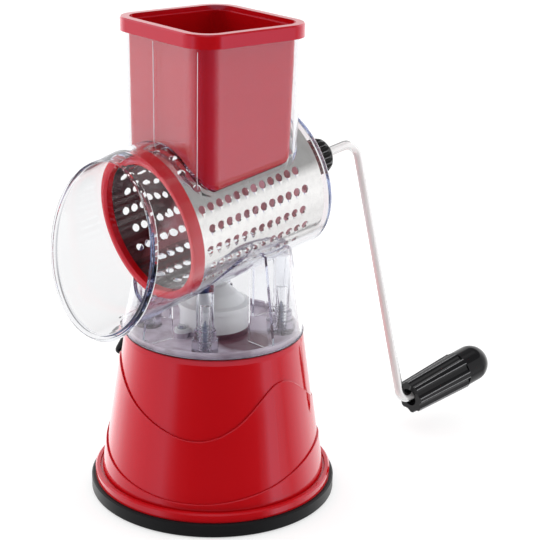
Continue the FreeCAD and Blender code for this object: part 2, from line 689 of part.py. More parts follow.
def drum_front_ring():
    groove_out = SLEEVE_R + 0.05
    groove_in = SLEEVE_R - SLEEVE_T - 0.05
    return on_axis(revolve([
        (RING_R, RING_FRONT + 0.8), (RING_R - 0.8, RING_FRONT), (RING_R - 2.9, RING_FRONT),
        (RING_R - 4.2, RING_FRONT + 0.9), (34.4, -37.0), (34.4, -36.0), (groove_in, -36.0),
        (groove_in, RING_FRONT + 3.1), (groove_out, RING_FRONT + 3.1), (groove_out, RING_REAR),
        (RING_R - 0.5, RING_REAR), (RING_R, RING_REAR - 0.5)]))


def drum_hub():
    spigot = SLEEVE_R - SLEEVE_T - 0.05
    hub = revolve([
        (0, 26.5), (8.5, 26.5), (9.5, HUB_WEB), (spigot - 2.2, HUB_WEB), (spigot - 1.8, 34.0),
        (spigot, 34.0), (spigot, HUB_REAR - 0.5), (spigot - 0.5, HUB_REAR), (0, HUB_REAR)])
    for angle in range(0, 360, 60):
        rib = box(8.0, spigot - 1.0, -0.9, 0.9, 34.5, HUB_WEB + 0.5)
        rib.rotate(NO_MOVE, Z_AXIS, angle)
        hub = hub.fuse(rib)
    return on_axis(hub.cut(hexagon(SOCKET_FLATS, 28.5, HUB_REAR + 1)).removeSplitter())


# ---------------------------------------------------------------- crank
def crank_frame(shape):
    """Shapes of the crank are drawn with the arm along +X; this turns the arm to its rest."""
    turned = shape.copy()
    turned.rotate(NO_MOVE, Z_AXIS, 90 - CRANK_ANGLE)
    return on_axis(turned)


def crank_path():
    """Centre line of the bent rod in the XZ plane: along the axis, down the arm, into the grip."""
    bend = ARM_BEND
    mid = bend * (1 - math.sqrt(0.5))
    start = Vector(0, 0, BOSS_END - 8)
    first = Vector(0, 0, ARM_AT - bend)
    first_mid = Vector(mid, 0, ARM_AT - mid)
    arm_in = Vector(bend, 0, ARM_AT)
    arm_out = Vector(ARM_LENGTH - bend, 0, ARM_AT)
    last_mid = Vector(ARM_LENGTH - mid, 0, ARM_AT + mid)
    last = Vector(ARM_LENGTH, 0, ARM_AT + bend)
    end = Vector(ARM_LENGTH, 0, GRIP_END + 9.5)
    return Part.Wire([Part.makeLine(start, first), Part.Arc(first, first_mid, arm_in).toShape(),
                      Part.makeLine(arm_in, arm_out), Part.Arc(arm_out, last_mid, last).toShape(),
                      Part.makeLine(last, end)])


def crank_rod():
    section = circle_wire(ROD_R, Vector(0, 0, BOSS_END - 8), Z_AXIS)
    return crank_frame(crank_path().makePipeShell([section], True, False))


def drive_key():
    """Hexagon that turns the drum, its journal and the collar that the nut holds."""
    key = hexagon(KEY_FLATS, 30.0, 44.2)
    key = key.fuse(disc(JOURNAL_R, 44.2, BOSS_END + 0.3))
    key = key.fuse(disc(COLLAR_R, BOSS_END + 0.3, BOSS_END + 2.6))
    return on_axis(key.cut(disc(ROD_R, BOSS_END - 8, BOSS_END + 10)).removeSplitter())


def place_on_grip(shape):
    """From the grip's own axis to the crank."""
    moved = shape.copy()
    moved.translate(Vector(ARM_LENGTH, 0, 0))
    return crank_frame(moved)


def crank_grip():
    body = cone(GRIP_NEAR_R, GRIP_START, GRIP_FAR_R, GRIP_END)
    flute_r = 5.2
    depth = 1.3
    lean = math.degrees(math.atan((GRIP_FAR_R - GRIP_NEAR_R) / (GRIP_END - GRIP_START)))
    for i in range(GRIP_FLUTES):
        flute = Part.makeCylinder(flute_r, 60, Vector(GRIP_NEAR_R + flute_r - depth, 0, GRIP_START - 6))
        flute.rotate(Vector(GRIP_NEAR_R, 0, GRIP_START), Y_AXIS, lean)
        flute.rotate(NO_MOVE, Z_AXIS, (i + 0.5) * 360 / GRIP_FLUTES)
        body = body.cut(flute)
    body = body.cut(disc(ROD_R + 0.06, GRIP_START - 1, GRIP_END + 1))
    body = body.cut(disc(5.4, GRIP_START - 1, GRIP_START + 3.4))
    return place_on_grip(body)


def grip_cap():
    bend_from = CAP_END - CAP_R
    collar = disc(CAP_R, GRIP_END, bend_from)
    dome = Part.makeSphere(CAP_R, Vector(0, 0, bend_from))
    cavity = disc(7.0, GRIP_END - 1, GRIP_END + 12)
    return place_on_grip(collar.fuse(dome).cut(disc(20, GRIP_END - 30, GRIP_END)).cut(cavity).removeSplitter())


def grip_clip():
    return place_on_grip(tube(5.6, ROD_R, GRIP_END + 6.4, GRIP_END + 7.6))


def lock_nut():
    nut = revolve([
        (BOSS_R + 0.05, 52.0), (NUT_R, 52.0), (NUT_R, 73.0), (NUT_R - 0.9, 75.4), (NUT_R - 3.0, 77.4),
        (NUT_R - 5.4, 78.0), (ROD_R + 0.4, 78.0), (ROD_R + 0.4, BOSS_END + 3.0),
        (COLLAR_R + 0.3, BOSS_END + 3.0), (COLLAR_R + 0.3, BOSS_END + 0.1), (BOSS_R + 0.05, BOSS_END + 0.1)])
    for i in range(NUT_RIBS):
        x, y = polar(NUT_R + 0.3, i * 360 / NUT_RIBS)
        nut = nut.cut(disc(1.15, 53.5, 80, x, y))
    return on_axis(nut)


def nut_washer():
    return on_axis(tube(NUT_R + 0.4, BOSS_R + 0.1, 48.0, 51.8))


# ---------------------------------------------------------------- the assembly
PIECES = [
    suction_cup, base_shell, guide_plate, clamp_screws, cam_cover, cover_screws, clear_skirt, body_screws,
    drum_housing, hopper, rear_bush, lever_shaft, suction_lever, lever_tip, lift_cam, shaft_clip,
    lift_yoke, pull_rod, cup_plate, return_spring, food_pusher, drum_sleeve, drum_front_ring, drum_hub,
    drive_key, crank_rod, grip_clip, crank_grip, grip_cap, nut_washer, lock_nut]

for piece in PIECES:
    shape = piece()
    shape.exportStep("parts/" + piece.__name__ + ".step")
    print(piece.__name__, len(shape.Solids), shape.isValid(), round(shape.Volume))
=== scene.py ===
"""Looks of the drum shredder: materials, small detail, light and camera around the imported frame."""

import bpy
import math
import bmesh
from mathutils import Matrix, Vector


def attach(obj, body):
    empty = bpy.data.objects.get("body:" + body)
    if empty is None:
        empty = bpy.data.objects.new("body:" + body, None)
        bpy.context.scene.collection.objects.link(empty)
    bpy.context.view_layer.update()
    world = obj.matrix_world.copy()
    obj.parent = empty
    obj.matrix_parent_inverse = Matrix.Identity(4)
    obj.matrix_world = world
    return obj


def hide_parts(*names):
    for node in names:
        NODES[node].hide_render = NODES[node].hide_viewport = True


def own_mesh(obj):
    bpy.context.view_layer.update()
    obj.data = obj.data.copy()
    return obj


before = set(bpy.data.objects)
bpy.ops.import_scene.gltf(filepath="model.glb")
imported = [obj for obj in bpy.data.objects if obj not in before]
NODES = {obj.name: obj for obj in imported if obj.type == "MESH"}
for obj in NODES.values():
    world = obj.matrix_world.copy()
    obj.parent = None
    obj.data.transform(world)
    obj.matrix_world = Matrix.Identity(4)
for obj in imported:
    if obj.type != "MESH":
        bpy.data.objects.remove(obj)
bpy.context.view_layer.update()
MM = 0.001
TILT = math.radians(10.0)
AXIS_POINT = (0.0, 0.0, 0.164)
AXIS_DIRECTION = (0.0, math.cos(TILT), math.sin(TILT))
AXIS_UP = (0.0, -math.sin(TILT), math.cos(TILT))
SLEEVE_INSIDE = 36.6 * MM
ARM_LENGTH = 164.8          # millimetres from the drum axis to the grip's axis
CRANK_ANGLE = 6.4           # degrees that the crank's arm rests away from hanging
FRAME_PIXELS = 540.0
FOCAL_PIXELS = 1546.43
SENSOR = 36.0               # millimetres
CAMERA_PLACE = (0.62095, -0.48019, 0.39333)
CAMERA_AZIMUTH = 50.116     # degrees
CAMERA_ELEVATION = 18.877   # degrees
CAMERA_ROLL = 1.2195        # degrees
RED_COLOR = (0.54, 0.0035, 0.0065)
RED_TINT = (1.0, 0.92, 1.25)
RED_ROUGHNESS = (0.05, 0.09)


# ---------------------------------------------------------------- camera
def make_camera():
    """Camera at the photo's viewing angle."""
    azimuth, elevation, roll = (math.radians(a) for a in (CAMERA_AZIMUTH, CAMERA_ELEVATION, CAMERA_ROLL))
    back = Vector((math.sin(azimuth) * math.cos(elevation), -math.cos(azimuth) * math.cos(elevation),
                   math.sin(elevation)))
    right = Vector((math.cos(azimuth), math.sin(azimuth), 0.0))
    up = back.cross(right)
    rolled_right = right * math.cos(roll) + up * math.sin(roll)
    rolled_up = up * math.cos(roll) - right * math.sin(roll)
    data = bpy.data.cameras.new("camera")
    data.sensor_width = SENSOR
    data.lens = SENSOR * FOCAL_PIXELS / FRAME_PIXELS
    data.clip_start = 0.01
    data.clip_end = 30.0
    camera = bpy.data.objects.new("camera", data)
    bpy.context.scene.collection.objects.link(camera)
    turn = Matrix((rolled_right, rolled_up, back)).transposed().to_4x4()
    camera.matrix_world = Matrix.Translation(Vector(CAMERA_PLACE)) @ turn
    bpy.context.scene.camera = camera


# ---------------------------------------------------------------- materials
def new_material(name):
    """An empty material, with its node tree and output node."""
    material = bpy.data.materials.new(name)
    material.use_nodes = True
    tree = material.node_tree
    tree.nodes.clear()
    output = tree.nodes.new("ShaderNodeOutputMaterial")
    return material, tree, output


def add(tree, kind, **settings):
    """A new shader node; each setting is one of its attributes or inputs."""
    node = tree.nodes.new(kind)
    for key, value in settings.items():
        if hasattr(node, key):
            setattr(node, key, value)
        else:
            node.inputs[key.replace("_", " ")].default_value = value
    return node


def map_range(tree, source, start, end, low=0.0, high=1.0):
    """A number that runs from low to high while source runs from start to end."""
    span = add(tree, "ShaderNodeMapRange")
    for name, value in (("From Min", start), ("From Max", end), ("To Min", low), ("To Max", high)):
        span.inputs[name].default_value = value
    tree.links.new(source, span.inputs["Value"])
    return span.outputs["Result"]


def mix_color(tree, factor, low, high):
    """Blend of two colours; each is a socket or plain numbers."""
    mix = add(tree, "ShaderNodeMix")
    mix.data_type = "RGBA"
    tree.links.new(factor, mix.inputs[0])
    for index, value in ((6, low), (7, high)):
        if isinstance(value, tuple):
            mix.inputs[index].default_value = (*value, 1)
        else:
            tree.links.new(value, mix.inputs[index])
    return mix.outputs[2]


def base_color(shader):
    """The socket that the shader's base colour comes from."""
    return shader.inputs["Base Color"].links[0].from_socket


def plastic(name, color, low, high, bump_scale=900.0, bump_strength=0.0, specular=0.5, tint=(1, 1, 1)):
    """Moulded plastic with roughness from low to high."""
    material, tree, output = new_material(name)
    shader = add(tree, "ShaderNodeBsdfPrincipled")
    shader.inputs["Specular IOR Level"].default_value = specular
    shader.inputs["Specular Tint"].default_value = (*tint, 1)
    coords = add(tree, "ShaderNodeTexCoord")
    wide = add(tree, "ShaderNodeTexNoise", Scale=28.0, Detail=2.0)
    tree.links.new(coords.outputs["Object"], wide.inputs["Vector"])
    ramp = add(tree, "ShaderNodeValToRGB")
    ramp.color_ramp.elements[0].position = 0.3
    ramp.color_ramp.elements[1].position = 0.75
    ramp.color_ramp.elements[0].color = [c * 0.96 for c in color] + [1]
    ramp.color_ramp.elements[1].color = list(color) + [1]
    tree.links.new(wide.outputs["Fac"], ramp.inputs["Fac"])
    tree.links.new(ramp.outputs["Color"], shader.inputs["Base Color"])
    tree.links.new(map_range(tree, wide.outputs["Fac"], 0, 1, low, high), shader.inputs["Roughness"])
    if bump_strength > 0:
        fine = add(tree, "ShaderNodeTexNoise", Scale=bump_scale, Detail=3.0)
        tree.links.new(coords.outputs["Object"], fine.inputs["Vector"])
        bump = add(tree, "ShaderNodeBump", Strength=bump_strength, Distance=0.0001)
        tree.links.new(fine.outputs["Fac"], bump.inputs["Height"])
        tree.links.new(bump.outputs["Normal"], shader.inputs["Normal"])
    tree.links.new(shader.outputs["BSDF"], output.inputs["Surface"])
    return material


def metal(name, color, low, high, bump_scale=300.0, bump_strength=0.05, metallic=1.0):
    """Metal with fine grain and roughness from low to high."""
    material, tree, output = new_material(name)
    shader = add(tree, "ShaderNodeBsdfPrincipled")
    shader.inputs["Metallic"].default_value = metallic
    coords = add(tree, "ShaderNodeTexCoord")
    noise = add(tree, "ShaderNodeTexNoise", Scale=bump_scale, Detail=3.0)
    tree.links.new(coords.outputs["Object"], noise.inputs["Vector"])
    bump = add(tree, "ShaderNodeBump", Strength=bump_strength, Distance=0.0002)
    tree.links.new(noise.outputs["Fac"], bump.inputs["Height"])
    ramp = add(tree, "ShaderNodeValToRGB")
    ramp.color_ramp.elements[0].position = 0.3
    ramp.color_ramp.elements[1].position = 0.7
    ramp.color_ramp.elements[0].color = [c * 0.93 for c in color] + [1]
    ramp.color_ramp.elements[1].color = list(color) + [1]
    tree.links.new(noise.outputs["Fac"], ramp.inputs["Fac"])
    tree.links.new(ramp.outputs["Color"], shader.inputs["Base Color"])
    tree.links.new(map_range(tree, noise.outputs["Fac"], 0, 1, low, high), shader.inputs["Roughness"])
    tree.links.new(bump.outputs["Normal"], shader.inputs["Normal"])
    tree.links.new(shader.outputs["BSDF"], output.inputs["Surface"])
    return material


def drum_metal(name):
    """Bright rolled steel; painted light and shade inside: bright low down, to the rear and at +X, and dark
    elsewhere.
    """
    material = metal(name, (0.90, 0.885, 0.86), 0.10, 0.16, bump_strength=0.02)
    tree = material.node_tree
    shader = tree.nodes["Principled BSDF"]
    coords = add(tree, "ShaderNodeTexCoord")
    # distance from the drum's axis, which tilts up towards the crank through AXIS_POINT
    offset = add(tree, "ShaderNodeVectorMath", operation="SUBTRACT")
    offset.inputs[1].default_value = AXIS_POINT
    across = add(tree, "ShaderNodeVectorMath", operation="CROSS_PRODUCT")
    across.inputs[1].default_value = AXIS_DIRECTION
    length = add(tree, "ShaderNodeVectorMath", operation="LENGTH")
    tree.links.new(coords.outputs["Object"], offset.inputs[0])
    tree.links.new(offset.outputs["Vector"], across.inputs[0])
    tree.links.new(across.outputs["Vector"], length.inputs[0])
    outside = map_range(tree, length.outputs["Value"], SLEEVE_INSIDE + 0.1 * MM, SLEEVE_INSIDE + 0.3 * MM)
    slope = add(tree, "ShaderNodeVectorMath", operation="DOT_PRODUCT")
    slope.inputs[1].default_value = [0.55 * d - u for d, u in zip(AXIS_DIRECTION, AXIS_UP)]
    tree.links.new(offset.outputs["Vector"], slope.inputs[0])
    parts = add(tree, "ShaderNodeSeparateXYZ")
    tree.links.new(coords.outputs["Object"], parts.inputs["Vector"])
    light = add(tree, "ShaderNodeMath", operation="MAXIMUM")
    tree.links.new(map_range(tree, slope.outputs["Value"], 7 * MM, 14 * MM), light.inputs[0])
    tree.links.new(map_range(tree, parts.outputs["X"], -8 * MM, 6 * MM), light.inputs[1])
    # painted light and shade inside the drum: dark and bright base colours set by place, turning with the
    # drum
    inner_painted_light_and_shade = mix_color(tree, light.outputs["Value"], (0.18, 0.165, 0.165), (0.94, 0.92, 0.92))
    tree.links.new(mix_color(tree, outside, inner_painted_light_and_shade, base_color(shader)), shader.inputs["Base Color"])
    return material


def clear_plastic(name):
    """Clear moulded plastic with blue-violet depth; lamps and soft light pass straight through it."""
    material, tree, output = new_material(name)
    glass = add(tree, "ShaderNodeBsdfPrincipled")
    glass.inputs["Base Color"].default_value = (1.0, 1.0, 1.0, 1)
    glass.inputs["Transmission Weight"].default_value = 1.0
    glass.inputs["IOR"].default_value = 1.46
    wide = add(tree, "ShaderNodeTexNoise", Scale=30.0, Detail=2.0)
    coords = add(tree, "ShaderNodeTexCoord")
    tree.links.new(coords.outputs["Object"], wide.inputs["Vector"])
    tree.links.new(map_range(tree, wide.outputs["Fac"], 0, 1, 0.0, 0.004), glass.inputs["Roughness"])
    through = add(tree, "ShaderNodeBsdfTransparent")
    through.inputs["Color"].default_value = (0.97, 0.975, 0.98, 1)
    path = add(tree, "ShaderNodeLightPath")
    soft = add(tree, "ShaderNodeMath", operation="MAXIMUM")
    tree.links.new(path.outputs["Is Shadow Ray"], soft.inputs[0])
    tree.links.new(path.outputs["Is Diffuse Ray"], soft.inputs[1])
    mix = add(tree, "ShaderNodeMixShader")
    tree.links.new(soft.outputs["Value"], mix.inputs["Fac"])
    tree.links.new(glass.outputs["BSDF"], mix.inputs[1])
    tree.links.new(through.outputs["BSDF"], mix.inputs[2])
    tree.links.new(mix.outputs["Shader"], output.inputs["Surface"])
    depth = add(tree, "ShaderNodeVolumeAbsorption", Density=24.0)
    depth.inputs["Color"].default_value = (0.60, 0.66, 0.84, 1)
    tree.links.new(depth.outputs["Volume"], output.inputs["Volume"])
    return material


def shell_plastic(name):
    """The red shell; its deck, under the clear body, has painted reflections in pale lilac patches and
    painted shade in dark wine red.
    """
    material = plastic(name, RED_COLOR, *RED_ROUGHNESS, tint=RED_TINT)
    tree = material.node_tree
    shader = tree.nodes["Principled BSDF"]
    coords = add(tree, "ShaderNodeTexCoord")
    place = add(tree, "ShaderNodeSeparateXYZ")
    tree.links.new(coords.outputs["Object"], place.inputs["Vector"])
    deck = map_range(tree, place.outputs["Z"], 91.25 * MM, 91.5 * MM)
    patches = add(tree, "ShaderNodeTexNoise", Scale=55.0, Detail=2.0, Distortion=1.5)
    tree.links.new(coords.outputs["Object"], patches.inputs["Vector"])
    # painted shade: the deck turns dark wine red between the plinth and the front right pillar
    reach = add(tree, "ShaderNodeVectorMath", operation="DISTANCE")
    reach.inputs[1].default_value = (25 * MM, 1 * MM, 91.5 * MM)
    tree.links.new(coords.outputs["Object"], reach.inputs[0])
    whole = add(tree, "ShaderNodeMath", operation="MULTIPLY")
    tree.links.new(map_range(tree, patches.outputs["Fac"], 0.36, 0.56, 0.55, 0.85), whole.inputs[0])
    tree.links.new(map_range(tree, reach.outputs["Value"], 13 * MM, 18 * MM, low=0.12), whole.inputs[1])
    # painted light and shade on the deck: dark wine red where shaded, pale lilac where it mirrors the bright
    # studio
    deck_painted_light_and_shade = mix_color(tree, whole.outputs["Value"], (0.10, 0.006, 0.014), (0.68, 0.60, 0.68))
    tree.links.new(mix_color(tree, deck, base_color(shader), deck_painted_light_and_shade), shader.inputs["Base Color"])
    return material


def hub_plastic(name):
    """Red hub; its face inside the drum is painted paler, a painted light from the bright drum around it."""
    material = plastic(name, RED_COLOR, *RED_ROUGHNESS, tint=RED_TINT)
    tree = material.node_tree
    shader = tree.nodes["Principled BSDF"]
    coords = add(tree, "ShaderNodeTexCoord")
    along = add(tree, "ShaderNodeVectorMath", operation="DOT_PRODUCT")
    along.inputs[1].default_value = AXIS_DIRECTION
    tree.links.new(coords.outputs["Object"], along.inputs[0])
    start = AXIS_POINT[2] * AXIS_DIRECTION[2]
    # painted light: the hub's face inside the drum is painted pale pink
    behind = map_range(tree, along.outputs["Value"], start + 41.2 * MM, start + 41.6 * MM)
    red = mix_color(tree, behind, (0.86, 0.34, 0.40), base_color(shader))
    tree.links.new(red, shader.inputs["Base Color"])
    return material


def rod_metal(name):
    """Plated rod of crank and lever: soft, near-white face, a painted reflection; mirror-like towards its
    edges.
    """
    # painted reflection: a near-white base, only 0.15 metallic, stands in for the plated face's mirror image
    # of the studio
    material = metal(name, (0.99, 0.99, 0.99), 0.22, 0.26, bump_scale=30.0, bump_strength=0.0, metallic=0.15)
    tree = material.node_tree
    soft = tree.nodes["Principled BSDF"]
    sharp = add(tree, "ShaderNodeBsdfPrincipled", Metallic=1.0)
    tree.links.new(base_color(soft), sharp.inputs["Base Color"])
    sharp.inputs["Roughness"].default_value = 0.06
    facing = add(tree, "ShaderNodeLayerWeight", Blend=0.5)
    mix = add(tree, "ShaderNodeMixShader")
    tree.links.new(map_range(tree, facing.outputs["Facing"], 0.30, 0.46), mix.inputs[0])
    tree.links.new(soft.outputs["BSDF"], mix.inputs[1])
    tree.links.new(sharp.outputs["BSDF"], mix.inputs[2])
    tree.links.new(mix.outputs["Shader"], tree.nodes["Material Output"].inputs["Surface"])
    return material


RED = plastic("red_gloss_plastic", RED_COLOR, *RED_ROUGHNESS, tint=RED_TINT)
SHELL_RED = shell_plastic("red_shell_plastic")
DARK_RED = plastic("pusher_red_plastic", (0.50, 0.0035, 0.0065), 0.06, 0.10, tint=(1.0, 0.90, 1.4))
CLEAR = clear_plastic("clear_plastic")
# painted highlight: pale opaque plastic for the fine white lines on the clear hopper
LINE_PAINTED_HIGHLIGHT = plastic("pale_line_painted_highlight", (0.86, 0.82, 0.88), 0.15, 0.25)
WHITE = plastic("white_plastic", (0.93, 0.93, 0.93), 0.20, 0.32)
BLACK = plastic("black_satin_plastic", (0.005, 0.005, 0.006), 0.06, 0.10, specular=0.30)
RUBBER = plastic("black_rubber", (0.006, 0.006, 0.007), 0.40, 0.52, bump_scale=2500.0, bump_strength=0.15,
                 specular=0.18)
STEEL = drum_metal("drum_steel")
CHROME = metal("polished_chrome", (0.88, 0.88, 0.89), 0.03, 0.07, bump_strength=0.01)
BRIGHT = rod_metal("plated_rod")
HUB_RED = hub_plastic("hub_red_plastic")
# painted highlight: bright grey metal on beads along the black ridges of grip and nut
RIDGE_PAINTED_HIGHLIGHT = metal("ridge_painted_highlight", (0.30, 0.30, 0.31), 0.12, 0.20, metallic=0.8)
JOINT = plastic("joint_shadow", (0.03, 0.002, 0.003), 0.3, 0.4, specular=0.2)
SCREWS = metal("zinc_screw", (0.62, 0.62, 0.64), 0.20, 0.32)
SPRING = metal("spring_wire", (0.45, 0.45, 0.47), 0.25, 0.38)

MATERIAL_OF = {
    "suction_cup": RUBBER, "base_shell": SHELL_RED, "guide_plate": WHITE, "clamp_screws": SCREWS,
    "cam_cover": WHITE, "cover_screws": SCREWS, "clear_skirt": CLEAR, "body_screws": SCREWS,
    "drum_housing": CLEAR, "hopper": CLEAR, "rear_bush": WHITE, "lever_shaft": BRIGHT,
    "suction_lever": BRIGHT, "lever_tip": BLACK, "lift_cam": WHITE, "shaft_clip": SPRING,
    "lift_yoke": WHITE, "pull_rod": SCREWS, "cup_plate": WHITE, "return_spring": SPRING,
    "food_pusher": DARK_RED, "drum_sleeve": STEEL, "drum_front_ring": RED, "drum_hub": HUB_RED,
    "drive_key": CHROME, "crank_rod": BRIGHT, "grip_clip": SPRING, "crank_grip": BLACK,
    "grip_cap": BLACK, "nut_washer": BLACK, "lock_nut": BLACK,
}


def smooth_by_angle(obj, degrees=35.0):
    """Smooth shading, with edges sharper than this angle kept sharp."""
    for polygon in obj.data.polygons:
        polygon.use_smooth = True
    obj.data.set_sharp_from_angle(angle=math.radians(degrees))


def dress_nodes():
    """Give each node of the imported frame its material."""
    for name, obj in NODES.items():
        obj.data.materials.clear()
        obj.data.materials.append(MATERIAL_OF[name])
        smooth_by_angle(obj)


# ---------------------------------------------------------------- small detail
def new_piece(name, mesh, body, material):
    """Put a mesh in the scene with its material, riding on a body."""
    piece = bpy.data.objects.new(name, mesh)
    bpy.context.scene.collection.objects.link(piece)
    mesh.materials.clear()
    mesh.materials.append(material)
    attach(piece, body)
    return piece


def helix(radius, bottom, top, turns, steps, x=0.0, y=0.0):
    """Points of a helix round the vertical through x, y; all in millimetres, the points in metres."""
    line = []
    for k in range(steps + 1):
        angle = 2 * math.pi * turns * k / steps
        line.append(((x + radius * math.cos(angle)) * MM, (y + radius * math.sin(angle)) * MM,
                     (bottom + (top - bottom) * k / steps) * MM))
    return line


def level_circle(radius, z):
    """Points every two degrees round the foot's axis, from millimetres."""
    turns = [math.radians(2 * k) for k in range(180)]
    return [(radius * MM * math.cos(a), radius * MM * math.sin(a), z * MM) for a in turns]


def revolved(name, profile, steps, place, body, material):
    """Closed ring or solid of revolution; place(radius, angle, run) gives a point in metres."""
    mesh = bmesh.new()
    loops = []
    for k in range(steps):
        angle = 2 * math.pi * k / steps
        loops.append([loops[0][i] if radius == 0 and k else mesh.verts.new(place(radius, angle, run))
                      for i, (radius, run) in enumerate(profile)])
    for k in range(steps):
        here, there = loops[k], loops[(k + 1) % steps]
        for i in range(len(profile)):
            j = (i + 1) % len(profile)
            corners = list(dict.fromkeys((here[i], here[j], there[j], there[i])))
            if len(corners) > 2:
                mesh.faces.new(corners)
    bmesh.ops.recalc_face_normals(mesh, faces=mesh.faces)
    data = bpy.data.meshes.new(name)
    mesh.to_mesh(data)
    mesh.free()
    piece = new_piece(name, data, body, material)
    smooth_by_angle(piece)
    return piece


def bead(name, points, radius, body, material, closed=False, sides=2):
    """Round bead along a line of points, riding on a body."""
    curve = bpy.data.curves.new(name, "CURVE")
    curve.dimensions = "3D"
    curve.bevel_depth = radius
    curve.bevel_resolution = sides
    curve.use_fill_caps = True
    spline = curve.splines.new("POLY")
    spline.points.add(len(points) - 1)
    for target, point in zip(spline.points, points):
        target.co = (*point, 1)
    spline.use_cyclic_u = closed
    rod = bpy.data.objects.new(name, curve)
    bpy.context.scene.collection.objects.link(rod)
    mesh = bpy.data.meshes.new_from_object(rod)
    mesh.name = name
    bpy.data.objects.remove(rod)
    for polygon in mesh.polygons:
        polygon.use_smooth = True
    return new_piece(name, mesh, body, material)


def cone_radius(z):
    """Radius of the base shell's smooth cone at a height, both in metres."""
    top_radius, top, foot_radius, foot = 48.2, 92.1, 59.7, 12.1
    return (top_radius + (foot_radius - top_radius) * (top - z / MM) / (top - foot)) * MM


def ledge_points(step, low, high):
    """The outer edge of a wave line, found on the base shell by its distance from the cone."""
    mesh = bmesh.new()
    mesh.from_mesh(NODES["base_shell"].data)
    bmesh.ops.remove_doubles(mesh, verts=mesh.verts, dist=1e-6)
    found = {}
    for edge in mesh.edges:
        if len(edge.link_faces) != 2:
            continue
        tilts = sorted(face.normal.z for face in edge.link_faces)
        if tilts[0] > 0.5 or tilts[1] < 0.5:
            continue
        for vert in edge.verts:
            x, y, z = vert.co
            off = math.hypot(x, y) - cone_radius(z) - step
            key = round(math.degrees(math.atan2(y, x)) / 2.0)
            if abs(off) < 0.15 * MM and low < z < high:
                found[key] = Vector((x, y, z))
    mesh.free()
    return [found[key] for key in sorted(found)]


def wave_beads():
    """Rounded edges of the two wave lines round the foot."""
    for name, step, low, high in (("upper_wave_edge", 0.8, 40, 85), ("lower_wave_edge", 1.6, 13.5, 40)):
        points = ledge_points(step * MM, low * MM, high * MM)
        inward = [Vector((p.x, p.y, 0)).normalized() * 0.30 * MM for p in points]
        line = [p - d - Vector((0, 0, 0.25 * MM)) for p, d in zip(points, inward)]
        bead(name, line, 0.42 * MM, "stand", RED, closed=True)


def screw_threads():
    """Threads of the four screws that stand in the clear pillars."""
    pitch, start, end, radius, pillar = 1.7, 93.2, 107.0, 2.05, 25.5
    turns = (end - start) / pitch
    for i, (sx, sy) in enumerate(((-1, -1), (1, -1), (-1, 1), (1, 1))):
        line = helix(radius, start, end, turns, int(turns * 20), sx * pillar, sy * pillar)
        bead("body_screw_thread_%d" % (i + 1), line, 0.30 * MM, "stand", SCREWS)


def hopper_line():
    """Raised mould line down the middle of the hopper's face above the mouth; its pale opaque plastic is a
    painted highlight.
    """
    line = [(-2.4 * MM, -38.05 * MM, 251.5 * MM), (-2.4 * MM, -37.55 * MM, 199.5 * MM)]
    bead("hopper_mould_line", line, 0.25 * MM, "stand", LINE_PAINTED_HIGHLIGHT)


def hopper_corner_line():
    """Fine pale line down the hopper's front corner: a painted highlight of the rounded corner."""
    turn = math.radians(-57)
    x, y, radius = 24.45, -25.1, 12.85
    line = [((x + radius * math.cos(turn) - draft) * MM, (y + radius * math.sin(turn) + draft) * MM, z * MM)
            for z, draft in ((251.0, 0.0), (182.0, 0.64))]
    bead("hopper_corner_line", line, 0.16 * MM, "stand", LINE_PAINTED_HIGHLIGHT)


def skirt_foot():
    """Fine bead where the clear body sits on the red shell."""
    bead("skirt_foot_bead", level_circle(48.0, 92.45), 0.4 * MM, "stand", CLEAR, closed=True)


def joint_line():
    """Dark bead that stands for the shadow gap between the clear body and the red shell."""
    bead("skirt_joint_line", level_circle(48.35, 91.95), 0.28 * MM, "stand", JOINT,
         closed=True)


def on_drum_axis(x, y, z):
    """From the drum's own frame (z along its axis, millimetres) to the world, in metres."""
    return (x * MM, (math.sin(TILT) * y + math.cos(TILT) * z) * MM,
            AXIS_POINT[2] + (math.sin(TILT) * z - math.cos(TILT) * y) * MM)


def on_grip_axis(radius, angle, z):
    """A point on the grip, whose axis is ARM_LENGTH from the drum axis; angle in degrees."""
    x = ARM_LENGTH + radius * math.cos(math.radians(angle))
    y = radius * math.sin(math.radians(angle))
    turn = math.radians(90 - CRANK_ANGLE)
    return on_drum_axis(x * math.cos(turn) - y * math.sin(turn), x * math.sin(turn) + y * math.cos(turn), z)


def grip_edges():
    """Rounded edges of the grip's eight ridges, in bright grey metal: painted highlights."""
    for i in range(8):
        for side in (-1, 1):
            middle = (i + 0.5) * 45
            start = on_grip_axis(9.95, middle + side * 16.8, 108.0)
            end = on_grip_axis(11.5, middle + side * 14.8, 149.2)
            bead("grip_edge_%d%s" % (i + 1, "a" if side < 0 else "b"), [start, end], 0.32 * MM, "grip",
                 RIDGE_PAINTED_HIGHLIGHT)


def nut_edges():
    """Beads along the lock nut's ridges, in bright grey metal: painted highlights."""
    for i in range(18):
        angle = math.radians((i + 0.5) * 20)
        line = [on_drum_axis(9.95 * math.cos(angle), 9.95 * math.sin(angle), z) for z in (53.0, 73.0)]
        bead("nut_edge_%d" % (i + 1), line, 0.32 * MM, "nut", RIDGE_PAINTED_HIGHLIGHT)


def front_ring():
    """The drum's red front ring, snapped over the sleeve's edge, with a short lip inside."""
    profile = [(39.9, -44.8), (39.7, -45.4), (39.1, -45.6), (37.3, -45.6), (36.5, -45.2), (35.7, -44.6),
               (35.4, -41.6), (35.5, -41.3), (36.55, -41.2), (36.55, -42.5), (37.35, -42.5), (37.35, -38.6),
               (39.4, -38.6), (39.9, -39.1)]

    def place(radius, angle, run):
        return on_drum_axis(radius * math.cos(angle), radius * math.sin(angle), run)

    ring = revolved("front_ring", profile, 144, place, "drum", RED)
    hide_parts("drum_front_ring")


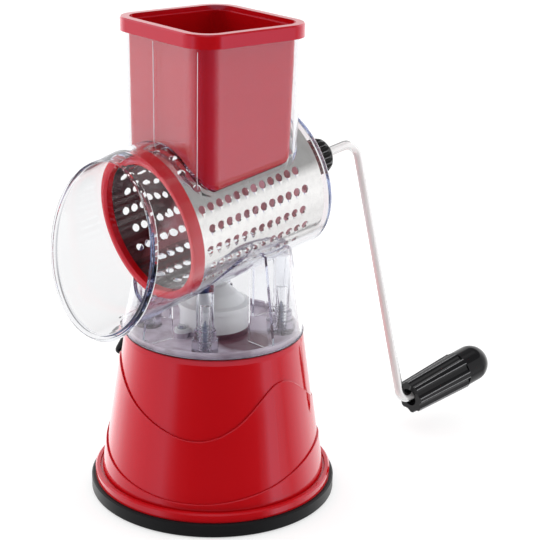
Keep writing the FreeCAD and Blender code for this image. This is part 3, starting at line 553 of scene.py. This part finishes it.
def spring_coil():
    """The return spring as a fixed coil on the stand; the real spring shortens against the guide plate as
    the cup plate rises.
    """
    bottom, top, radius, wire = 6.95, 22.75, 8.6, 0.8
    line = helix(radius, bottom, top, turns=4.5, steps=144)
    coil = bead("spring_coil", line, wire * MM, "stand", SPRING, sides=3)
    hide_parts("return_spring")
    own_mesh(coil)


def slim_tip():
    """The lever's black tip, as slim as the photo shows it, on the same line as the CAD tip."""
    length, lean, forward = 45.0, 6.5, math.radians(29.5)
    along = Vector((-lean, -length * math.sin(forward), -length * math.cos(forward))).normalized()
    across = along.orthogonal().normalized()
    aside = along.cross(across)
    start = Vector((-52.6, 0, 103.5))
    profile = [(2.31, 29.0), (2.50, 29.1), (2.68, 29.8), (2.70, 44.2), (2.45, 45.6), (1.75, 46.7),
               (0.85, 47.15), (0, 47.25), (0, 43.05), (2.31, 43.05)]

    def place(radius, angle, run):
        return (start + along * run + (across * math.cos(angle) + aside * math.sin(angle)) * radius) * MM

    tip = revolved("slim_tip", profile, 48, place, "lever", BLACK)
    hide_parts("lever_tip")


# ---------------------------------------------------------------- studio
def make_floor(half=4.0, drop=0.5 * MM):
    """A grey floor with a faint glow, unseen by mirror images and through the clear plastic."""
    mesh = bpy.data.meshes.new("floor")
    corners = [(-half, -half, 0), (half, -half, 0), (half, half, 0), (-half, half, 0)]
    mesh.from_pydata(corners, [], [(0, 1, 2, 3)])
    floor = bpy.data.objects.new("floor", mesh)
    bpy.context.scene.collection.objects.link(floor)
    floor.location = (0, 0, -drop)
    material, tree, output = new_material("floor")
    diffuse = add(tree, "ShaderNodeBsdfDiffuse")
    diffuse.inputs["Color"].default_value = (0.55, 0.55, 0.55, 1)
    glow = add(tree, "ShaderNodeEmission", Strength=0.52)
    both = add(tree, "ShaderNodeAddShader")
    tree.links.new(diffuse.outputs["BSDF"], both.inputs[0])
    tree.links.new(glow.outputs["Emission"], both.inputs[1])
    tree.links.new(both.outputs["Shader"], output.inputs["Surface"])
    mesh.materials.append(material)
    floor.visible_glossy = False
    floor.visible_transmission = False


def around(azimuth, distance, height):
    """A point at this compass angle round the object, in degrees; the camera stands at 50."""
    angle = math.radians(azimuth)
    return math.sin(angle) * distance, -math.cos(angle) * distance, height


# brightness of the studio round the object: (azimuth from the camera's side in degrees, level);
# the first ring is met by level rays, the second by rays that run down at more than 12 degrees,
# the third by reflections that run up, and the last is what the clear plastic bends into view
LEVEL_RING = [(-180, 1.05), (-150, 2.20), (-128, 2.50), (-112, 1.40), (-96, 0.90), (-55, 0.75),
              (-46, 1.00), (-38, 0.16), (-20, 0.05), (10, 0.03), (38, 0.06), (58, 0.20), (66, 0.90),
              (72, 1.00), (84, 0.75), (112, 1.10), (134, 2.20), (150, 2.20), (180, 1.05)]
LOWER_RING = [(-180, 1.05), (-146, 2.10), (-122, 1.85), (-106, 1.20), (-93, 0.90), (-82, 0.75),
              (-71, 0.70), (-61, 0.80), (-52, 0.90), (-43, 0.38), (-34, 0.13), (-20, 0.04), (30, 0.04),
              (50, 0.08), (59, 0.48), (66, 1.35), (79, 1.05), (90, 0.55), (103, 1.00), (118, 1.50),
              (139, 1.65), (180, 1.05)]
UPPER_RING = [(-180, 1.05), (-150, 2.00), (-112, 1.40), (-96, 0.90), (-50, 0.80), (50, 0.80),
              (84, 0.85), (112, 1.10), (134, 2.00), (180, 1.05)]
CLEAR_RING = [(-180, 0.99), (-125, 0.99), (-95, 1.20), (-62, 0.72), (-40, 0.32), (0, 0.15), (40, 0.32),
              (60, 0.82), (78, 1.15), (95, 1.10), (125, 0.99), (180, 0.99)]
CLEAR_LOW = 1.0
CLEAR_HIGH = 0.37
CLEAR_TINT = [(0.30, (0.62, 0.68, 1.0)), (0.55, (0.95, 0.97, 1.0)), (0.75, (1.0, 1.0, 1.0))]
FLOOR_LEVEL = 0.85
HIGH_LEVEL = 0.32
TOP_LEVEL = 1.15
RING_PEAK = 3.0
BACKDROP_LEVEL = 1.05


def ring_of_lights(tree, place, levels):
    """Brightness round the object; a colour ramp holds up to 1, so it holds a share of RING_PEAK."""
    ring = add(tree, "ShaderNodeValToRGB")
    while len(ring.color_ramp.elements) < len(levels):
        ring.color_ramp.elements.new(0.5)
    for element, (azimuth, level) in zip(ring.color_ramp.elements, levels):
        element.position = (azimuth + 180) / 360
        element.color = [level / RING_PEAK] * 3 + [1]
    tree.links.new(place, ring.inputs["Fac"])
    scale = add(tree, "ShaderNodeMath", operation="MULTIPLY")
    scale.inputs[1].default_value = RING_PEAK
    tree.links.new(ring.outputs["Color"], scale.inputs[0])
    return scale.outputs["Value"]


def blend_levels(tree, factor, low, high):
    """Number nodes: low and high are sockets or plain numbers."""
    mix = add(tree, "ShaderNodeMix")
    mix.data_type = "FLOAT"
    tree.links.new(factor, mix.inputs[0])
    for index, value in ((2, low), (3, high)):
        if isinstance(value, float):
            mix.inputs[index].default_value = value
        else:
            tree.links.new(value, mix.inputs[index])
    return mix.outputs[0]


def make_world():
    """A ring of soft boxes: dark behind the camera, bright to both sides, a white sweep behind."""
    world = bpy.data.worlds.new("studio")
    world.use_nodes = True
    bpy.context.scene.world = world
    tree = world.node_tree
    background = tree.nodes["Background"]
    coords = add(tree, "ShaderNodeTexCoord")
    parts = add(tree, "ShaderNodeSeparateXYZ")
    tree.links.new(coords.outputs["Generated"], parts.inputs["Vector"])
    turn = math.radians(CAMERA_AZIMUTH)
    toward = add(tree, "ShaderNodeVectorMath", operation="DOT_PRODUCT")
    toward.inputs[1].default_value = (math.sin(turn), -math.cos(turn), 0)
    aside = add(tree, "ShaderNodeVectorMath", operation="DOT_PRODUCT")
    aside.inputs[1].default_value = (math.cos(turn), math.sin(turn), 0)
    tree.links.new(coords.outputs["Generated"], toward.inputs[0])
    tree.links.new(coords.outputs["Generated"], aside.inputs[0])
    angle = add(tree, "ShaderNodeMath", operation="ARCTAN2")
    tree.links.new(aside.outputs["Value"], angle.inputs[0])
    tree.links.new(toward.outputs["Value"], angle.inputs[1])
    place = map_range(tree, angle.outputs["Value"], -math.pi, math.pi)
    level, lower, upper, clear = (ring_of_lights(tree, place, ring)
                                  for ring in (LEVEL_RING, LOWER_RING, UPPER_RING, CLEAR_RING))
    height = parts.outputs["Z"]
    ring = blend_levels(tree, map_range(tree, height, -0.20, -0.09), lower, level)
    # soft light: overhead the ring gives way to one large soft box
    room = blend_levels(tree, map_range(tree, height, 0.55, 0.80), ring, TOP_LEVEL)
    # mirror images: floor, ring, upper ring, a grey gap and the soft box overhead
    mirror = blend_levels(tree, map_range(tree, height, -0.60, -0.50), FLOOR_LEVEL, ring)
    mirror = blend_levels(tree, map_range(tree, height, -0.05, 0.01), mirror, upper)
    mirror = blend_levels(tree, map_range(tree, height, 0.58, 0.64), mirror, HIGH_LEVEL)
    mirror = blend_levels(tree, map_range(tree, height, 0.86, 0.92), mirror, TOP_LEVEL)
    # seen through the clear plastic
    bent = blend_levels(tree, map_range(tree, height, -0.62, -0.48), CLEAR_LOW, clear)
    bent = blend_levels(tree, map_range(tree, height, 0.16, 0.40), bent, CLEAR_HIGH)
    path = add(tree, "ShaderNodeLightPath")
    seen = blend_levels(tree, path.outputs["Is Glossy Ray"], room, mirror)
    seen = blend_levels(tree, path.outputs["Is Transmission Ray"], seen, bent)
    seen = blend_levels(tree, path.outputs["Is Camera Ray"], seen, BACKDROP_LEVEL)
    tree.links.new(seen, background.inputs["Strength"])
    # the darker light inside the clear plastic is bluish
    tint = add(tree, "ShaderNodeValToRGB")
    tint.color_ramp.elements.new(0.5)
    for element, (position, color) in zip(tint.color_ramp.elements, CLEAR_TINT):
        element.position = position
        element.color = (*color, 1)
    tree.links.new(clear, tint.inputs["Fac"])
    shade = mix_color(tree, path.outputs["Is Transmission Ray"], (1, 1, 1), tint.outputs["Color"])
    tree.links.new(shade, background.inputs["Color"])


def side_light(name, azimuth, distance, height, width, tall, power):
    """Soft light from one side that lights the red without a mirror image of its own."""
    data = bpy.data.lights.new(name, "AREA")
    data.shape = "RECTANGLE"
    data.size = width
    data.size_y = tall
    data.energy = power
    obj = bpy.data.objects.new(name, data)
    bpy.context.scene.collection.objects.link(obj)
    location = Vector(around(azimuth, distance, height))
    obj.location = location
    obj.rotation_euler = (location - Vector((0, 0, 0.13))).to_track_quat("Z", "Y").to_euler()
    obj.visible_glossy = False
    obj.visible_transmission = False


def make_studio():
    """World, floor and two side lights; the clear walls need many bounces."""
    make_world()
    make_floor()
    for name, azimuth, power in (("left_soft_box", 50 - 88, 4.6), ("right_soft_box", 50 + 88, 4.2)):
        side_light(name, azimuth, distance=1.2, height=0.35, width=0.8, tall=0.9, power=power)
    scene = bpy.context.scene
    scene.view_settings.view_transform = "Standard"
    scene.cycles.max_bounces = 64
    scene.cycles.transmission_bounces = 48
    scene.cycles.transparent_max_bounces = 24
    scene.cycles.glossy_bounces = 48


make_camera()
dress_nodes()
wave_beads()
screw_threads()
hopper_line()
hopper_corner_line()
skirt_foot()
joint_line()
grip_edges()
nut_edges()
front_ring()
spring_coil()
slim_tip()
make_studio()
